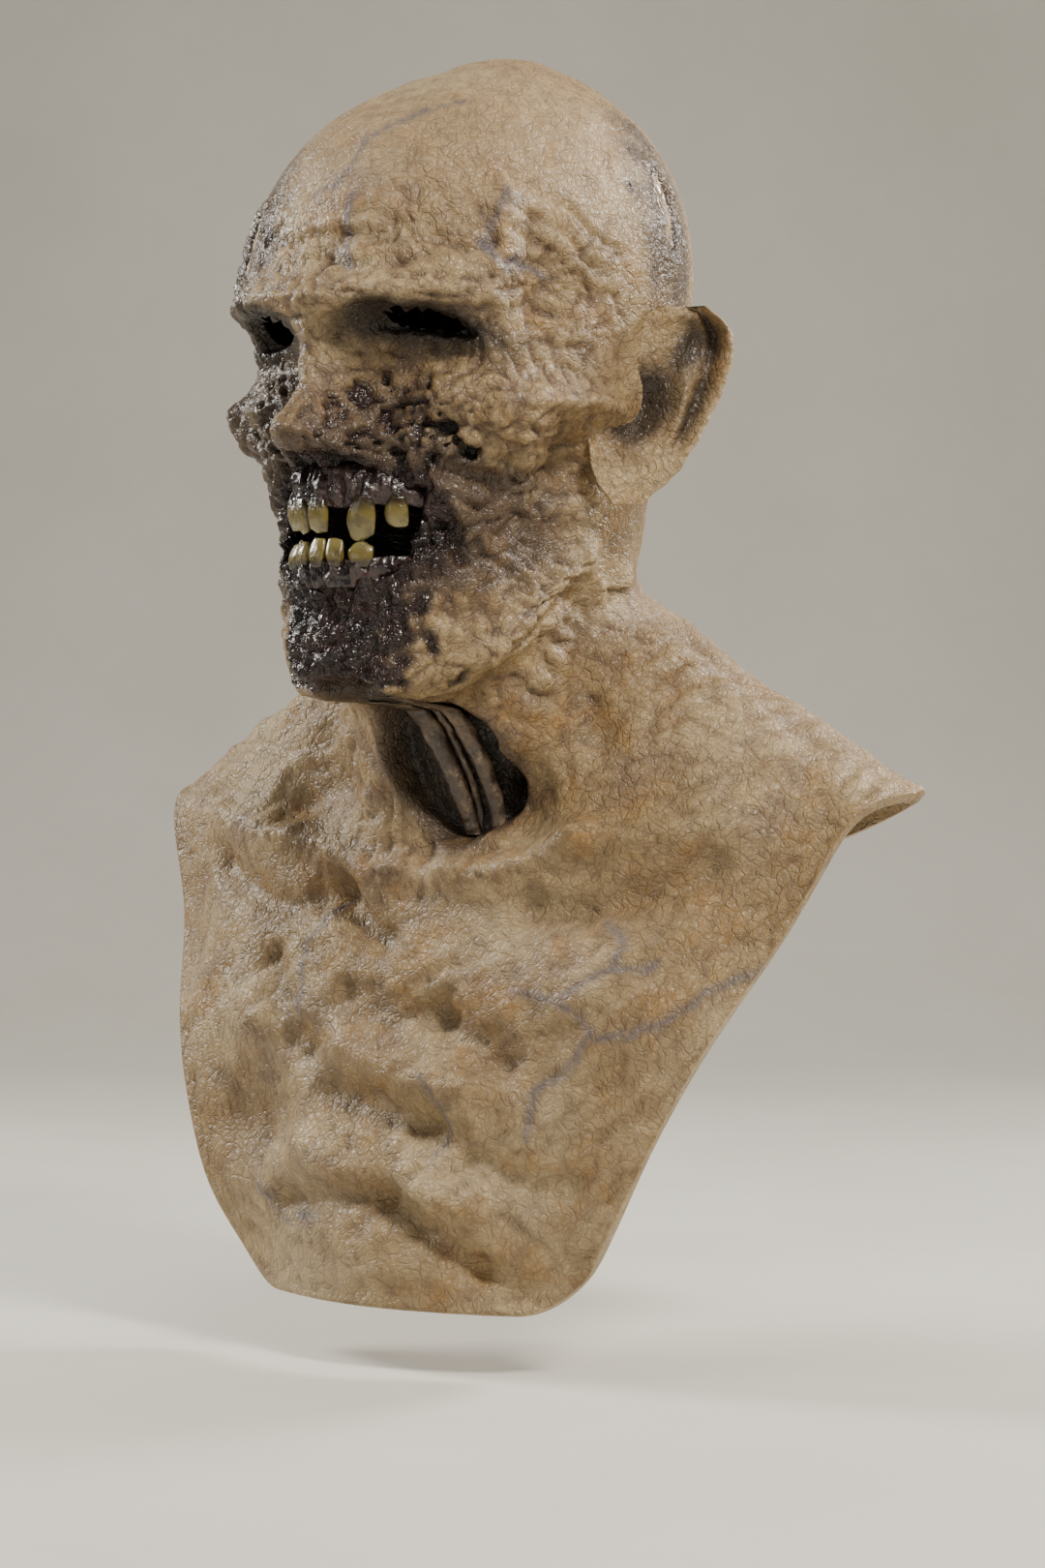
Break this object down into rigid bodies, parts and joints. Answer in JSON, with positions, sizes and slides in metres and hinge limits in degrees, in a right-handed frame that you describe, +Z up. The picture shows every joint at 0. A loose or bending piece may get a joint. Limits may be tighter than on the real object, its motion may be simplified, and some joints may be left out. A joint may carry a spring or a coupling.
{
  "type": "zombie mask",
  "caption": "Full-head hollow silicone corpse mask with neck and chest bib, torn mouth with teeth and gums, sunken eyes, ears and open wounds.",
  "frame": {"origin": "seat of the mask on the top of the wearer's head, inside the crown", "axes": "+Z up along the head, the face looks along -Y, +X is the wearer's left"},
  "size_m": [0.3496, 0.2191, 0.4862],
  "materials": {
    "silicone_skin": "satin painted silicone, mottled and veined",
    "wet_gum": "glossy wet dark flesh",
    "old_tooth": "glossy stained yellow",
    "bare_bone": "glossy ochre",
    "dry_cord": "satin dried flesh"
  },
  "bodies": {
    "root": {"mask_skin": "silicone_skin", "upper_gum": "wet_gum", "lower_gum": "wet_gum", "upper_tooth_1": "old_tooth", "upper_tooth_2": "old_tooth", "upper_tooth_3": "old_tooth", "upper_tooth_4": "old_tooth", "upper_tooth_5": "old_tooth", "lower_tooth_1": "old_tooth", "lower_tooth_2": "old_tooth", "lower_tooth_3": "old_tooth", "lower_tooth_4": "old_tooth", "lower_tooth_5": "old_tooth", "skull_strip_left": "bare_bone", "skull_strip_right": "bare_bone", "throat_cord_left": "dry_cord", "throat_cord_right": "dry_cord"}
  },
  "joints": []
}
